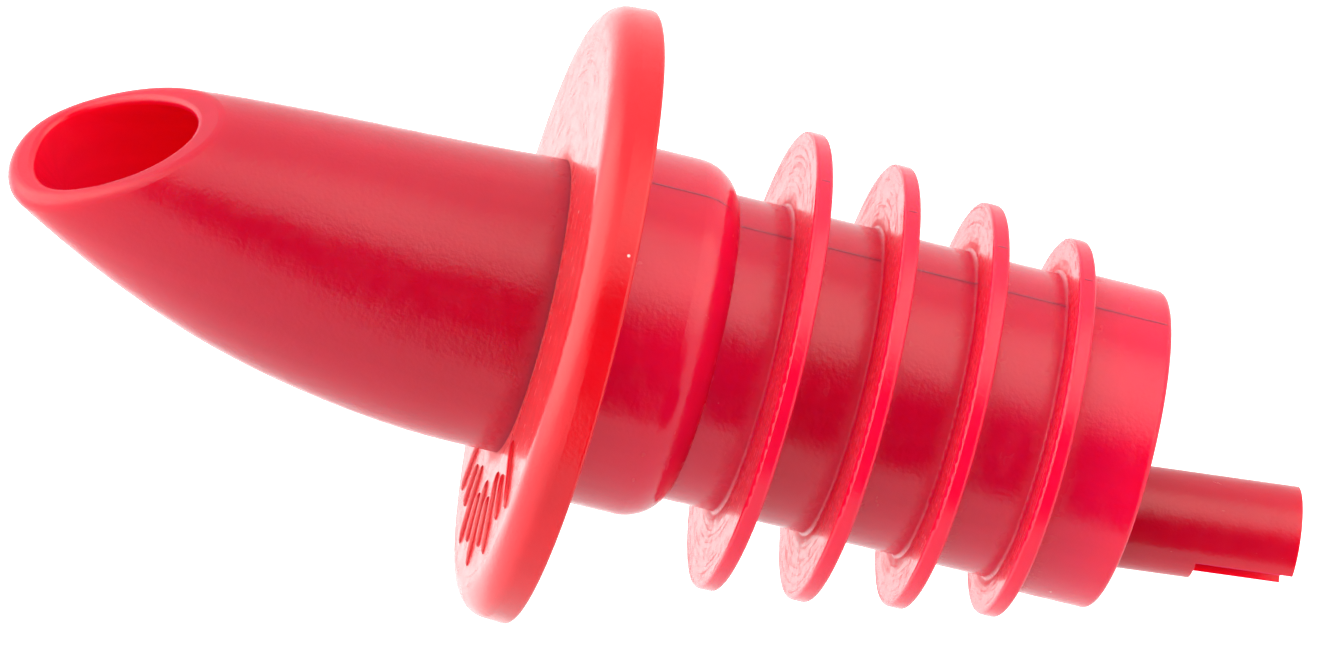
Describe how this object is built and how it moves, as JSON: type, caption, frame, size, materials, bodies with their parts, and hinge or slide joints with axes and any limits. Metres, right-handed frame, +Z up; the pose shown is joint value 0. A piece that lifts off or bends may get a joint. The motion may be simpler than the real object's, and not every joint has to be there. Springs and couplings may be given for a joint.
{
  "type": "bottle pour spout",
  "caption": "Free-flow plastic bottle pourer: a slant-mouthed spout on a round collar, a finned stopper for the bottle's neck and a slotted vent tube.",
  "frame": {"origin": "centre of the collar's underside, where it rests on the bottle's lip", "axes": "+Z up along the stopper's axis toward the spout, +X toward the side the mouth faces"},
  "size_m": [0.0316, 0.0316, 0.0678],
  "materials": {
    "spout_plastic": "satin moulded red",
    "collar_plastic": "glossy moulded red",
    "stopper_plastic": "glossy soft polyethylene, red",
    "tube_plastic": "satin moulded red"
  },
  "bodies": {
    "stopper": {"ribbed_stopper": "stopper_plastic"},
    "spout": {"pouring_spout": "spout_plastic", "collar_disc": "collar_plastic", "vent_tube": "tube_plastic"}
  },
  "joints": [
    {"name": "spout_turn", "type": "hinge", "parent": "stopper", "child": "spout", "pos_m": [0, 0, 0], "axis": [0, 0, 1], "continuous": true}
  ]
}
